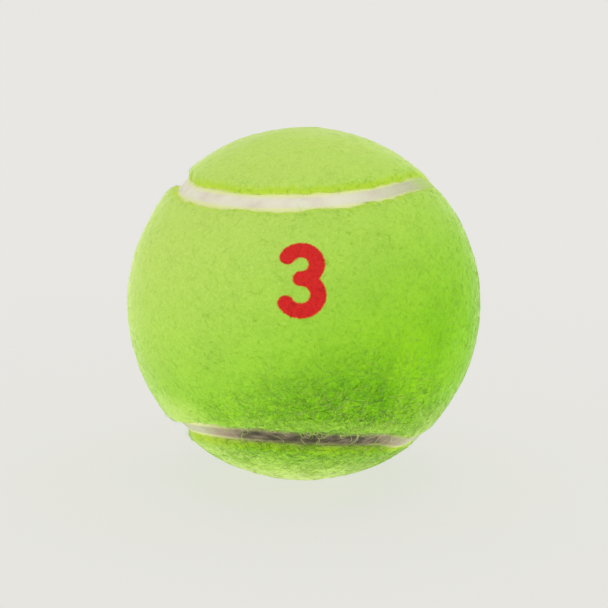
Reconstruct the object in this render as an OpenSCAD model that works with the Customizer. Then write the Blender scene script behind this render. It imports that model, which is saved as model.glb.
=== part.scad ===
// Tennis ball, built up from its core outwards.
// The origin is the ball's centre and +Z is up. The front panel's waist faces -Y, and its two
// lobes wrap round to -X and +X. The rear panel is the same blank, turned half a turn about a
// diagonal, so its waist faces +Y and its lobes wrap over the top and the bottom.

/* [Ball] */
// Diameter of the ball over its felt
ball_d = 66; // [65.4:0.1:68.6]

/* [Felt cover] */
// Height of the nap above its backing cloth
nap_t = 2.3; // [1.8:0.1:3]
// Thickness of the woven backing cloth
backing_t = 0.5; // [0.3:0.1:0.8]
// Radius of the nap's rolled edge along the seam
edge_round = 1.8; // [1:0.1:2]

/* [Panel outline, degrees of arc] */
// How far a lobe's centre lies behind the ball's side
lobe_lift = 9.4; // [6:0.2:14]
// Half the length of each straight stretch between two lobes
straight_half = 20.8; // [14:0.2:26]

/* [Seam] */
// Width of the seam's rubber between the two panels
seam_w = 2.8; // [2:0.1:3.6]
// Depth of the seam's edges below the nap
seam_sink = 1.2; // [0.8:0.1:1.6]
// Rise of the seam's face at its middle
seam_crown = 0.15; // [0.05:0.05:0.3]

/* [Core] */
// Wall of the moulded rubber core
core_wall = 3.5; // [3:0.1:4.5]
// Thickness of the cement between the core's halves
joint_t = 0.3; // [0.1:0.1:0.6]
// How far the joint's cement is squeezed out inside the core
bead_t = 0.6; // [0.3:0.1:1.2]
// Height of that squeezed bead
bead_h = 1.6; // [1:0.1:3]

/* [Cement] */
// Film of rubber cement between the core and the cover
bond_t = 0.15; // [0.1:0.05:0.3]
// Clearance between two bonded faces
bond_gap = 0.02; // [0.01:0.01:0.04]

/* [Hidden] */
$fn = 120;

// Overrun of every cut past the face it goes through
overrun = 1;
// Share of its radius by which the rolled edge starts proud, so that it meets the nap in a soft crease
edge_proud_share = 0.03;
// Share of the ball's radius to which the panel cutter reaches
cutter_reach_share = 2;
// Steps of the panel cutter along each arc, and along half a straight stretch
arc_steps = 8;
straight_steps = 3;
// Degrees by which an arc runs on into the straight stretches beside it, so that they join solidly
arc_lap = 0.4;

// Radii of the layers, from the nap inwards
ball_r = ball_d / 2;
nap_in_r = ball_r - nap_t;
backing_out_r = nap_in_r - bond_gap;
backing_in_r = backing_out_r - backing_t;
bond_out_r = backing_in_r - bond_gap;
bond_in_r = bond_out_r - bond_t;
core_r = bond_in_r - bond_gap;
core_in_r = core_r - core_wall;

// Half the gap between the panels, which the seam's rubber fills
gap_half = seam_w / 2 + bond_gap;
// A straight stretch is this much wider to each side than an arc, which ends inside it
stretch_ease = bond_gap / 2;

// The seam is four arcs, one round each lobe, joined by four stretches of great circle. Each
// stretch is centred on a crossing, a point where the two panels change places.
crossing_to_lobe = acos(cos(lobe_lift) * cos(45));
lobe_r = acos(cos(crossing_to_lobe) / cos(straight_half));
// Angle of a straight stretch to the ring that runs through the crossings
crossing_slope = atan(tan(lobe_lift) / sin(45)) + asin(sin(lobe_r) / sin(crossing_to_lobe));
// Half the turn of an arc about its lobe's centre
arc_half = acos(-tan(lobe_lift) / tan(crossing_to_lobe)) - atan(tan(straight_half) / sin(lobe_r));

// Puts its children round a lobe's centre, which becomes their Z axis, with X towards the waist
module at_lobe(i) {
    rotate([0, 0, 90 * i]) rotate([180 * (i % 2), 0, 0]) rotate([0, 90 - lobe_lift, 0])
        rotate([0, 0, 180]) children();
}

// Puts its children at a crossing, with their XY plane along the straight stretch
module at_crossing(i) {
    rotate([0, 0, 90 * i + 45]) rotate([(i % 2 == 0 ? -1 : 1) * crossing_slope, 0, 0]) children();
}

// Turns the seam's own frame, which has its fourfold axis up, into the ball's
module seam_frame() {
    rotate([-90, 0, 0]) children();
}

// Sweeps a section along the whole seam: its first child along the arcs, and its second, which is
// the same section eased, along the straight stretches. Both are drawn outwards along X.
module along_seam() {
    seam_frame() for (i = [0:3]) {
        at_lobe(i) rotate([0, 0, -arc_half - arc_lap]) rotate_extrude(angle = 2 * (arc_half + arc_lap))
            rotate(90 - lobe_r) children(0);
        at_crossing(i) rotate([0, 0, -straight_half]) rotate_extrude(angle = 2 * straight_half)
            children(1);
    }
}

// Section of the gap between the panels, with the nap's rolled edges at its mouth
module gap_section(ease) {
    wall = gap_half + ease;
    edge_at_r = ball_r - edge_round * (1 - edge_proud_share);
    edge_side = wall + edge_round;
    edge_v = sqrt(edge_at_r * edge_at_r - edge_side * edge_side);
    top_v = ball_r + overrun + ease;
    translate([core_r - ease, -wall]) square([top_v - core_r + ease, 2 * wall]);
    difference() {
        translate([edge_v, -edge_side]) square([top_v - edge_v, 2 * edge_side]);
        for (side = [-1, 1]) translate([edge_v, side * edge_side]) circle(edge_round);
    }
}

// Section of the gap below the nap, where its walls are straight
module backing_gap_section(ease) {
    translate([backing_in_r - overrun - ease, -gap_half - ease])
        square([backing_t + 2 * (overrun + ease), 2 * (gap_half + ease)]);
}

// Section of the seam's rubber, with its crowned face
module seam_section(ease) {
    half = seam_w / 2 + ease;
    crown_r = (half * half + seam_crown * seam_crown) / (2 * seam_crown);
    face_v = ball_r - seam_sink + seam_crown + ease;
    foot_v = bond_out_r + bond_gap - ease;
    intersection() {
        translate([foot_v, -half]) square([face_v + overrun - foot_v, 2 * half]);
        translate([face_v - crown_r, 0]) circle(crown_r);
    }
}

// Both sections of each sweep
module gap_along_seam() {
    along_seam() {
        gap_section(0);
        gap_section(stretch_ease);
    }
}

module backing_gap_along_seam() {
    along_seam() {
        backing_gap_section(0);
        backing_gap_section(stretch_ease);
    }
}

module rubber_along_seam() {
    along_seam() {
        seam_section(0);
        seam_section(stretch_ease);
    }
}

// A vector turned about the X, Y or Z axis
function about_x(v, a) = [v.x, v.y * cos(a) - v.z * sin(a), v.y * sin(a) + v.z * cos(a)];
function about_y(v, a) = [v.x * cos(a) + v.z * sin(a), v.y, v.z * cos(a) - v.x * sin(a)];
function about_z(v, a) = [v.x * cos(a) - v.y * sin(a), v.x * sin(a) + v.y * cos(a), v.z];

// Direction of a point of the arc round lobe i, by its turn from the arc's middle
function on_arc(i, a) =
    about_z(about_x(about_y(about_z([sin(lobe_r), 0, cos(lobe_r)], 180 + a), 90 - lobe_lift),
        180 * (i % 2)), 90 * i);
// Direction of a point of the straight stretch through crossing 0, by its angle from the crossing
function on_straight(a) = about_z(about_x([cos(a), sin(a), 0], -crossing_slope), 45);

// A quarter of the seam's middle line, from the tip of lobe 0 to the waist beside lobe 1
quarter = concat(
    [for (k = [0:arc_steps - 1]) on_arc(0, -arc_half * k / arc_steps)],
    [for (k = [-straight_steps:straight_steps - 1]) on_straight(straight_half * k / straight_steps)],
    [for (k = [arc_steps:-1:0]) on_arc(1, -arc_half * k / arc_steps)]
);
// The front panel's outline on its +Y side, from tip to tip, in the seam's own frame
side_line = concat(quarter, [for (k = [len(quarter) - 2:-1:0]) [-quarter[k].x, quarter[k].y, quarter[k].z]]);

// Solid cone from the ball's centre through the front panel's outline, capped well outside the ball.
// Its sides run inside the seam's gap, so they leave no face of their own on a panel.
module panel_cutter() {
    reach = cutter_reach_share * ball_r;
    rungs = len(side_line);
    left = [for (p = side_line) reach * p];
    right = [for (p = side_line) reach * [p.x, -p.y, p.z]];
    points = concat([[0, 0, 0]], left, right);
    // The two tips lie on both sides, so the right side takes them from the left one
    right_of = [for (k = [0:rungs - 1]) 1 + k + (k == 0 || k == rungs - 1 ? 0 : rungs)];
    faces = concat(
        [for (k = [0:rungs - 2]) [0, 2 + k, 1 + k]],
        [for (k = [0:rungs - 2]) [0, right_of[k], right_of[k + 1]]],
        [[1, 2, right_of[1]]],
        [for (k = [1:rungs - 3]) [1 + k, 2 + k, right_of[k + 1], right_of[k]]],
        [[rungs - 1, rungs, right_of[rungs - 2]]]
    );
    seam_frame() polyhedron(points = points, faces = faces);
}

// Turns the front panel's place into the rear panel's
module to_rear() {
    rotate(180, [1, 0, 1]) children();
}

module shell(out_r, in_r) {
    difference() {
        sphere(out_r);
        sphere(in_r);
    }
}

module backing_cloth() {
    difference() {
        intersection() {
            shell(backing_out_r, backing_in_r);
            panel_cutter();
        }
        backing_gap_along_seam();
    }
}

module felt_panel() {
    difference() {
        intersection() {
            shell(ball_r, nap_in_r);
            panel_cutter();
        }
        gap_along_seam();
    }
}

// Half of the core, from the cemented joint up
module core_half() {
    difference() {
        shell(core_r, core_in_r);
        translate([0, 0, -core_r - overrun + joint_t / 2 + bond_gap])
            cylinder(h = core_r + overrun, r = core_r + overrun);
    }
}

// Section of the squeezed bead: flat against the core's inner face, and round towards the middle
module bead_section() {
    half = bead_h / 2;
    flat_v = sqrt(core_in_r * core_in_r - half * half) - bond_gap;
    round_r = (half * half + bead_t * bead_t) / (2 * bead_t);
    intersection() {
        translate([flat_v - bead_t + round_r, 0]) circle(round_r);
        translate([flat_v - bead_t - overrun, -half]) square([bead_t + overrun, bead_h]);
    }
}

// Cement between the core's halves, with the bead that is squeezed out inside
module joint_ring() {
    difference() {
        intersection() {
            sphere(core_r);
            translate([0, 0, -joint_t / 2]) cylinder(h = joint_t, r = core_r + overrun);
        }
        translate([0, 0, -joint_t]) cylinder(h = 2 * joint_t, r = core_in_r - bead_t / 2);
    }
    rotate_extrude() bead_section();
}

module core_half_upper() {
    color("dimgray") core_half();
}

module core_half_lower() {
    color("dimgray") mirror([0, 0, 1]) core_half();
}

module core_joint_cement() {
    color("goldenrod") joint_ring();
}

module cover_cement() {
    color("wheat") shell(bond_out_r, bond_in_r);
}

module front_backing_cloth() {
    color("ivory") backing_cloth();
}

module rear_backing_cloth() {
    color("ivory") to_rear() backing_cloth();
}

module front_felt_panel() {
    color("yellowgreen") felt_panel();
}

module rear_felt_panel() {
    color("yellowgreen") to_rear() felt_panel();
}

module seam_rubber() {
    color("beige") rubber_along_seam();
}

core_half_upper();
core_half_lower();
core_joint_cement();
cover_cement();
front_backing_cloth();
rear_backing_cloth();
front_felt_panel();
rear_felt_panel();
seam_rubber();
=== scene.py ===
"""A tennis ball: two felt panels over a rubber core, with the rubber seam that shows between them.

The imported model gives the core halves, the cements and the sizes of the rest. This script dresses
them, and builds the felt panels with their rolled edges, the fibres that stand on them, the seam
rubber and the backing cloths as meshes of their own, in metres.
"""

import logging
import math
from dataclasses import dataclass
from enum import Enum
from functools import cached_property
from typing import Iterable, Union

import bmesh
import bpy
import numpy as np
from mathutils import Matrix, Vector

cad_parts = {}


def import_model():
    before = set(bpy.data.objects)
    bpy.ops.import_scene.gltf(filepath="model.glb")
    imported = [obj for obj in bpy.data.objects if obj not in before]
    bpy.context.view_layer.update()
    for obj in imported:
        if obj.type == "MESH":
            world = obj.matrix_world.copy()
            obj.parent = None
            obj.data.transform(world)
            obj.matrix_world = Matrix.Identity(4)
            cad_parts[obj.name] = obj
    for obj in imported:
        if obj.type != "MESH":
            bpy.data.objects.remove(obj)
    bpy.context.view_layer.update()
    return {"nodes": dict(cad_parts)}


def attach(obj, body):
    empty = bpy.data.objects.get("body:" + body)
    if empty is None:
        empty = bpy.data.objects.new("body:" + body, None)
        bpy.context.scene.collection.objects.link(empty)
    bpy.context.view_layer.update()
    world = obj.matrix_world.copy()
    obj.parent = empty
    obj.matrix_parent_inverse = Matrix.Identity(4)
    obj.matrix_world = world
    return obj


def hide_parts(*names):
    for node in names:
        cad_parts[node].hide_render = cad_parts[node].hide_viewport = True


MM = 0.001
BODY = "root"
BAKE_MAP = "OFBake"
WEAVE_MAP = "weave"
TURN = 2 * math.pi

# More than any distance or angle that is measured
FAR = 9.0
# How far neighbouring stretches of the seam overlap, so that no point is missed
SLACK = 1e-6
# The least length that anything is divided by
TINY = 1e-12

Colour = tuple[float, float, float]
Spot = tuple[float, float, float]
Span = tuple[float, float]
Inputs = dict[str | int, object]
Value = Union[float, int, Spot, "Wire"]

log = logging.getLogger("tennis_ball")


class Side(Enum):
    """Which felt panel: its lobes lie left and right in front, and above and below behind."""

    FRONT = "front"
    REAR = "rear"

    def place(self, points: np.ndarray) -> np.ndarray:
        """Carries points of the front panel to this panel, by half a turn about the line x = z.

        Args:
            points: rows of x, y, z on the front panel.

        Returns:
            The same points on this panel.
        """
        if self is Side.FRONT:
            return points
        return points[:, [2, 1, 0]] * [1, -1, 1]


def srgb(red: int, green: int, blue: int) -> Colour:
    """Turns a colour of 0 to 255 steps, as a screen shows it, into the linear one that shaders use.

    Args:
        red: the red step.
        green: the green step.
        blue: the blue step.

    Returns:
        The linear red, green and blue.
    """

    def linear(step: int) -> float:
        """One step as a linear share."""
        share = step / 255
        return share / 12.92 if share <= 0.04045 else ((share + 0.055) / 1.055) ** 2.4

    return linear(red), linear(green), linear(blue)


# Node trees


class Wire:
    """One output of a node. Sums, differences, products and quotients of it add the nodes that work
    them out.
    """

    def __init__(self, tree: "Tree", socket: bpy.types.NodeSocket) -> None:
        """Keeps the tree, to which expressions add nodes, and the socket."""
        self.tree = tree
        self.socket = socket

    def _with(self, operation: str, other: Value, swapped: bool = False) -> "Wire":
        """Adds the node for one operator, with the other operand first where they are swapped."""
        pair = (other, self) if swapped else (self, other)
        return self.tree.calc(operation, *pair)

    def __add__(self, other: Value) -> "Wire":
        """self + other."""
        return self._with("ADD", other)

    def __radd__(self, other: Value) -> "Wire":
        """other + self."""
        return self._with("ADD", other, True)

    def __sub__(self, other: Value) -> "Wire":
        """self - other."""
        return self._with("SUBTRACT", other)

    def __rsub__(self, other: Value) -> "Wire":
        """other - self."""
        return self._with("SUBTRACT", other, True)

    def __mul__(self, other: Value) -> "Wire":
        """self * other."""
        return self._with("MULTIPLY", other)

    def __rmul__(self, other: Value) -> "Wire":
        """other * self."""
        return self._with("MULTIPLY", other, True)

    def __truediv__(self, other: Value) -> "Wire":
        """self / other."""
        return self._with("DIVIDE", other)

    def __rtruediv__(self, other: Value) -> "Wire":
        """other / self."""
        return self._with("DIVIDE", other, True)


class Tree:
    """A shader or geometry node tree that is being built."""

    def __init__(self, tree: bpy.types.NodeTree) -> None:
        """Keeps the tree and empties it."""
        self.tree = tree
        tree.nodes.clear()

    def node(
        self,
        kind: str,
        settings: dict[str, object] | None = None,
        inputs: Inputs | None = None,
    ) -> bpy.types.Node:
        """Adds a node. Its settings come first, because they decide which sockets it has.

        Args:
            kind: the node's type.
            settings: its properties, and under "stops" a ramp's places and colours.
            inputs: a value or a Wire for each socket, by name or number.

        Returns:
            The node.
        """
        made = self.tree.nodes.new(kind)
        for name, value in (settings or {}).items():
            if name == "stops":
                self._set_stops(made.color_ramp, value)
            else:
                setattr(made, name, value)
        for name, value in (inputs or {}).items():
            self._set_input(self.find(made.inputs, name), value)
        return made

    def out(self, made: bpy.types.Node, name: str | int = 0) -> Wire:
        """The named output of a node, as a Wire."""
        return Wire(self, self.find(made.outputs, name))

    def wire(
        self,
        kind: str,
        settings: dict[str, object] | None = None,
        inputs: Inputs | None = None,
        output: str | int = 0,
    ) -> Wire:
        """Adds a node, as node does, and gives one of its outputs by name or number."""
        return self.out(self.node(kind, settings, inputs), output)

    def calc(self, operation: str, *values: Value) -> Wire:
        """Adds a Math node, or a Vector Math node where a value is a vector.

        Args:
            operation: the node's operation.
            values: its operands, in order.

        Returns:
            The result.
        """
        vectors = [isinstance(v, Wire) and v.socket.type == "VECTOR" for v in values]
        inputs: Inputs = dict(enumerate(values))
        if not any(vectors):
            return self.wire("ShaderNodeMath", {"operation": operation}, inputs)
        if operation == "MULTIPLY" and not all(vectors):
            scaled, by = values if vectors[0] else values[::-1]
            settings = {"operation": "SCALE"}
            return self.wire("ShaderNodeVectorMath", settings, {0: scaled, "Scale": by})
        answer = "Value" if operation in ("DOT_PRODUCT", "LENGTH") else "Vector"
        return self.wire("ShaderNodeVectorMath", {"operation": operation}, inputs, answer)

    def smooth(self, value: Wire, start: float, end: float) -> Wire:
        """A smooth rise from 0, where value is start, to 1, where it is end.

        Args:
            value: what is compared.
            start: where the rise begins; above end, the result falls instead.
            end: where the rise is complete.

        Returns:
            The share, from 0 to 1.
        """
        low, high = min(start, end), max(start, end)
        share = self.wire(
            "ShaderNodeMapRange",
            {"interpolation_type": "SMOOTHSTEP"},
            {"Value": value, "From Min": low, "From Max": high},
        )
        return share if start < end else 1 - share

    def mix(self, share: Value, first: object, second: object) -> Wire:
        """Mixes two colours or Wires, with as much of the second as the share says."""
        inputs = {"Factor": share, "A": first, "B": second}
        return self.wire("ShaderNodeMix", {"data_type": "RGBA"}, inputs, "Result")

    def place(self) -> Wire:
        """Where a point is on the object."""
        return self.wire("ShaderNodeTexCoord", None, None, "Object")

    def note(self, name: str) -> Wire:
        """A number that the mesh keeps for each of its points."""
        return self.wire("ShaderNodeAttribute", {"attribute_name": name}, None, "Fac")

    def on_map(self, name: str) -> tuple[Wire, Wire]:
        """Where a point is on one of the mesh's maps.

        Args:
            name: the map's name.

        Returns:
            How far across the map it is, and how far up.
        """
        spot = self.wire("ShaderNodeUVMap", {"uv_map": name})
        parts = self.node("ShaderNodeSeparateXYZ", None, {0: spot})
        return self.out(parts, "X"), self.out(parts, "Y")

    def noise(self, place: Wire, size: float, layers: float = 2.0, twist: float = 0.0) -> Wire:
        """Soft random patches of about one size, from 0 to 1, in layers and twisted into streaks."""
        inputs = {"Vector": place, "Scale": 1 / size, "Detail": layers, "Distortion": twist}
        return self.wire("ShaderNodeTexNoise", None, inputs)

    def bump(self, height: Wire, depth: float) -> Wire:
        """The normal of a surface with this relief, whose 0 lies the depth under its 1."""
        return self.wire("ShaderNodeBump", None, {"Height": height, "Distance": depth})

    @staticmethod
    def find(sockets: Iterable[bpy.types.NodeSocket], name: str | int) -> bpy.types.NodeSocket:
        """Finds a socket by name among those in use, or by its number.

        Args:
            sockets: a node's inputs or outputs.
            name: the socket's name or number.

        Returns:
            The socket.
        """
        if isinstance(name, int):
            return list(sockets)[name]
        return next(s for s in sockets if s.name == name and s.enabled)

    def _set_input(self, socket: bpy.types.NodeSocket, value: object) -> None:
        """Links a Wire to a socket, or sets the socket's own value.

        Args:
            socket: the socket.
            value: a Wire, a value, or a colour's red, green and blue.
        """
        if isinstance(value, Wire):
            self.tree.links.new(value.socket, socket)
        elif socket.type == "RGBA":
            socket.default_value = (*value, 1.0)
        else:
            socket.default_value = value

    @staticmethod
    def _set_stops(ramp: bpy.types.ColorRamp, stops: list[tuple[float, Colour]]) -> None:
        """Gives a ramp its places and colours.

        Args:
            ramp: the ramp.
            stops: each place, from 0 to 1, with its colour.
        """
        while len(ramp.elements) < len(stops):
            ramp.elements.new(0.5)
        for element, (place, colour) in zip(ramp.elements, stops):
            element.position = place
            element.color = (*colour, 1.0)


def rising(amounts: Span, share: Value | np.ndarray) -> Value | np.ndarray:
    """The first amount, with as much of the second added as the share says."""
    return amounts[0] + amounts[1] * share


# Finishes

MATT: Inputs = {"Specular IOR Level": 0.1}
FUZZ: Inputs = {"Sheen Roughness": 0.3, "Sheen Tint": srgb(240, 250, 200), **MATT}


@dataclass(frozen=True)
class Finish:
    """What every finish has: a name and the roughness of its surface. In every finish, a range is where a
    change begins and where it is complete, and a pair of amounts is what there is of something, and what
    is added to it by wear or by the noise.
    """

    name: str
    roughness: float

    def material(self) -> bpy.types.Material:
        """Makes the material, from the colour and the bump that the finish draws.

        Returns:
            The material.
        """
        made = bpy.data.materials.new(self.name)
        made.use_nodes = True
        tree = Tree(made.node_tree)
        inputs: Inputs = {"Roughness": self.roughness, **self.surface(tree)}
        shader = tree.wire("ShaderNodeBsdfPrincipled", None, inputs)
        printed = self.print(tree)
        if printed:
            share, colour = printed
            ink = {"Base Color": colour, "Roughness": self.roughness, **MATT}
            ink_shader = tree.wire("ShaderNodeBsdfPrincipled", None, ink)
            shader = tree.wire("ShaderNodeMixShader", None, {0: share, 1: shader, 2: ink_shader})
        tree.node("ShaderNodeOutputMaterial", None, {"Surface": shader})
        return made

    def print(self, tree: Tree) -> tuple[Wire, Wire] | None:
        """What is printed on the surface, matt: how much ink there is, and its colour; or nothing."""
        return None

    def surface(self, tree: Tree) -> Inputs:
        """A value or a Wire for each socket of the shader that the finish sets."""
        raise NotImplementedError


@dataclass(frozen=True)
class FeltFinish(Finish):
    """Dyed wool and nylon felt: matted streaks of fibre over small pits darkened with painted shade, with
    painted light where it is paler, painted shade in one patch and as a saturated band on the rolled lip,
    and a painted glow of light through its cut edge. The added amounts are those of ruffled felt, and
    beside the seam those where it is soiled and shade is painted.
    """

    shade: Colour = srgb(92, 164, 4)
    body: Colour = srgb(140, 209, 14)
    light: Colour = srgb(170, 220, 42)
    # Painted shade in the pits between raised fibres
    pit_shade: Colour = srgb(64, 126, 6)
    # Painted light: the paler colour the felt takes where light falls on it
    painted_light_pale: Colour = srgb(202, 228, 116)
    # Painted glow: light through the thin cut edge
    edge: Colour = srgb(240, 248, 132)
    # Painted shade: the saturated colour of the rolled lip turned from the light
    lip: Colour = srgb(188, 222, 16)
    ink_dark: Colour = srgb(196, 4, 32)
    ink: Colour = srgb(222, 12, 42)
    streak: float = 0.5 * MM
    patch: float = 7 * MM
    pit: float = 0.8 * MM
    pit_range: Span = (0.42, 0.28)
    pit_amounts: Span = (0.05, 0.45)
    streak_amounts: Span = (0.3, 0.9)
    patch_amounts: Span = (0.3, 0.5)
    tone_range: Span = (0.2, 0.6)
    # Painted shade: how far the felt darkens in one patch
    painted_shade_share: float = 0.36
    lit_by_patches: float = 0.6
    lit_range: Span = (0.8, 1.1)
    lit_amounts: Span = (0.25, 0.75)
    painted_light_amounts: Span = (0.8, 0.9)
    edge_reach: float = 1.25 * MM
    edge_amounts: Span = (0.85, -0.3)
    lip_reach: float = 2.4 * MM
    lip_amounts: Span = (0.6, -0.25)
    ink_feather: float = 0.16 * MM
    ink_range: Span = (0.3, 0.7)
    ink_cover: float = 0.97
    depth: float = 0.05 * MM
    depth_amounts: Span = (0.4, 1.4)
    streak_relief: float = 0.75
    sheen: float = 0.88

    def streaks(self, tree: Tree) -> Wire:
        """The streaks of matted fibre, which the felt's tone, relief and ink all follow."""
        return tree.noise(tree.place(), self.streak, layers=4.0, twist=1.2)

    def surface(self, tree: Tree) -> Inputs:
        """Draws the felt's streaks and pits, with painted shade in the pits, in one patch and on the lip,
        painted light where it is paler, and a painted glow at its edge.

        Args:
            tree: the material's tree.

        Returns:
            The shader's colour, normal and sheen.
        """
        place, streaks = tree.place(), self.streaks(tree)
        patches = tree.noise(place, self.patch, layers=3.0)
        pits = tree.smooth(tree.noise(place, self.pit, twist=0.6), *self.pit_range)
        ruffled, soil = tree.note("ruffled"), tree.note("soil")
        by_streaks = (streaks - 0.5) * rising(self.streak_amounts, ruffled)
        by_patches = (patches - 0.5) * rising(self.patch_amounts, ruffled)
        tone = tree.smooth(0.5 + (by_streaks + by_patches), *self.tone_range)
        colour = tree.mix(tone, self.shade, self.body)
        # Painted shade: one patch of felt darkened towards its shade colour
        colour = tree.mix(tree.note("painted_shade") * self.painted_shade_share, colour, self.shade)
        lit = tree.smooth(streaks + self.lit_by_patches * patches, *self.lit_range)
        colour = tree.mix(lit * rising(self.lit_amounts, ruffled), colour, self.light)
        # Painted shade: the pits darken, most where the nap is ruffled, as shade between raised fibres
        colour = tree.mix(pits * rising(self.pit_amounts, ruffled), colour, self.pit_shade)
        # Painted light: paler felt on one side, in spots and beside the shaded seam
        fade = tree.note("fade") * rising(self.painted_light_amounts, streaks - 0.5)
        colour = tree.mix(fade, colour, self.painted_light_pale)
        ragged = tree.note("seam_away") + (streaks - 0.5) * self.edge_reach
        near = tree.smooth(ragged, self.edge_reach, 0.0)
        lip = tree.smooth(ragged, self.lip_reach, self.edge_reach)
        # Painted shade: a saturated band on the rolled lip, as it looks turned from the light
        colour = tree.mix(lip * rising(self.lip_amounts, soil), colour, self.lip)
        # Painted glow of light through the cut edge, weaker where the seam is shaded
        colour = tree.mix(near * rising(self.edge_amounts, soil), colour, self.edge)
        height = self.streak_relief * streaks + (1 - self.streak_relief) * (1 - pits)
        return {
            "Base Color": colour,
            "Normal": tree.bump(height * rising(self.depth_amounts, ruffled), self.depth),
            "Sheen Weight": self.sheen,
            **FUZZ,
        }

    def print(self, tree: Tree) -> tuple[Wire, Wire]:
        """Draws the figure's ink, which thins out over its feathered edge.

        Args:
            tree: the material's tree.

        Returns:
            How much ink there is, and its colour.
        """
        streaks = self.streaks(tree)
        soft = tree.note("ink_away") + (streaks - 0.5) * (2 * self.ink_feather)
        share = tree.smooth(soft, self.ink_feather, -self.ink_feather) * self.ink_cover
        return share, tree.mix(tree.smooth(streaks, *self.ink_range), self.ink_dark, self.ink)


@dataclass(frozen=True)
class FibreFinish(Finish):
    """Single fibres. Their map runs along the tone across, and from root to tip upwards. The tones above
    the palest colour's are the ink's.
    """

    dark: Colour = srgb(60, 124, 6)
    body: Colour = srgb(143, 214, 14)
    light: Colour = srgb(178, 226, 54)
    # The pale tone that painted light pulls the fibres to, and that pale strays take at random
    painted_light_pale: Colour = srgb(208, 232, 122)
    pale: Colour = srgb(236, 244, 150)
    tones: tuple[float, ...] = (0.0, 0.25, 0.45, 0.62, 0.8)
    ink_dark: Colour = srgb(196, 4, 32)
    ink_light: Colour = srgb(226, 14, 44)
    ink_range: Span = (0.82, 0.84)
    root_reach: float = 0.35
    # Painted shade at each fibre's root, where it meets the felt
    root_shade: float = 0.25
    sheen: float = 0.65

    def surface(self, tree: Tree) -> Inputs:
        """Draws each fibre's tone, with painted shade darkening it towards its root.

        Args:
            tree: the material's tree.

        Returns:
            The shader's colour and sheen.
        """
        tone, along = tree.on_map(BAKE_MAP)
        stops = list(zip(self.tones, (self.dark, self.body, self.light, self.painted_light_pale, self.pale)))
        colour = tree.wire("ShaderNodeValToRGB", {"stops": stops}, {"Fac": tone})
        # Painted shade: darker towards the root
        root = tree.smooth(along, self.root_reach, 0.0)
        colour = tree.mix(root * self.root_shade, colour, self.dark)
        return {"Base Color": colour, "Sheen Weight": self.sheen, **FUZZ}

    def print(self, tree: Tree) -> tuple[Wire, Wire]:
        """Draws the inked fibres.

        Args:
            tree: the material's tree.

        Returns:
            How much ink there is, and its colour.
        """
        tone, _ = tree.on_map(BAKE_MAP)
        colour = tree.mix(tree.smooth(tone, self.ink_range[1], 1.0), self.ink_dark, self.ink_light)
        return tree.smooth(tone, *self.ink_range), colour


@dataclass(frozen=True)
class SeamFinish(Finish):
    """Off-white vulcanised seam rubber: matt, faintly mottled, with felt dust along its edges, and on one
    side smears of soil with painted shade in the groove.
    """

    clean: Colour = srgb(236, 233, 216)
    warm: Colour = srgb(228, 218, 204)
    # Soil with painted shade: the rubber's grey-brown where the seam lies in shade
    soiled_and_shaded: Colour = srgb(158, 143, 120)
    # The darkest grime, with painted shade along the seam
    grimy_and_shaded: Colour = srgb(54, 50, 28)
    dust: Colour = srgb(236, 244, 158)
    loose: Colour = srgb(189, 192, 156)
    nap: Colour = srgb(180, 214, 104)
    mottle: float = 3.2 * MM
    warm_range: Span = (0.3, 0.85)
    grain: float = 0.25 * MM
    loose_amounts: Span = (0.7, 0.5)
    soil_and_shade_unevenness: float = 0.6
    soil_and_shade_range: Span = (0.0, 0.8)
    grime_and_shade: float = 1.1 * MM
    smear: Spot = (2.2, 1.0, 1.0)
    grime_and_shade_unevenness: float = 0.8
    grime_and_shade_range: Span = (0.62, 1.15)
    dust_reach: float = 0.65 * MM
    dust_amounts: Span = (0.75, -0.6)
    nap_amounts: Span = (0.55, 0.6)
    depth: float = 0.05 * MM
    rougher: float = 0.2
    gloss: float = 0.35

    def surface(self, tree: Tree) -> Inputs:
        """Draws the rubber's mottling, its soil with painted shade, and the dust by the distance from the
        felt.

        Args:
            tree: the material's tree.

        Returns:
            The shader's colour, normal and roughness.
        """
        place, soil = tree.place(), tree.note("soil")
        mottled = tree.noise(place, self.mottle, layers=3.0)
        grain = tree.noise(place, self.grain, layers=3.0, twist=0.4)
        grime_and_shade = tree.noise(place / self.smear, self.grime_and_shade, layers=4.0)
        colour = tree.mix(tree.smooth(mottled, *self.warm_range), self.clean, self.warm)
        colour = tree.mix(tree.note("dusted") * rising(self.loose_amounts, grain), colour, self.loose)
        # Soil and painted shade: the rubber turns grey-brown, and near black in streaks, on the shaded side
        soiled_and_shaded = soil + (mottled - 0.5) * self.soil_and_shade_unevenness
        colour = tree.mix(tree.smooth(soiled_and_shaded, *self.soil_and_shade_range), colour, self.soiled_and_shaded)
        grimy_and_shaded = soil + (grime_and_shade - 0.5) * self.grime_and_shade_unevenness
        colour = tree.mix(tree.smooth(grimy_and_shaded, *self.grime_and_shade_range), colour, self.grimy_and_shaded)
        ragged = tree.note("felt_away") + (grain - 0.5) * self.dust_reach
        dusty = tree.smooth(ragged, self.dust_reach, 0.0)
        colour = tree.mix(dusty * rising(self.dust_amounts, soil), colour, self.dust)
        colour = tree.mix(tree.note("overgrown") * rising(self.nap_amounts, grain), colour, self.nap)
        return {
            "Base Color": colour,
            "Normal": tree.bump(grain + 0.5 * mottled, self.depth),
            "Roughness": self.roughness + self.rougher * mottled,
            "Specular IOR Level": self.gloss,
        }


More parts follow.
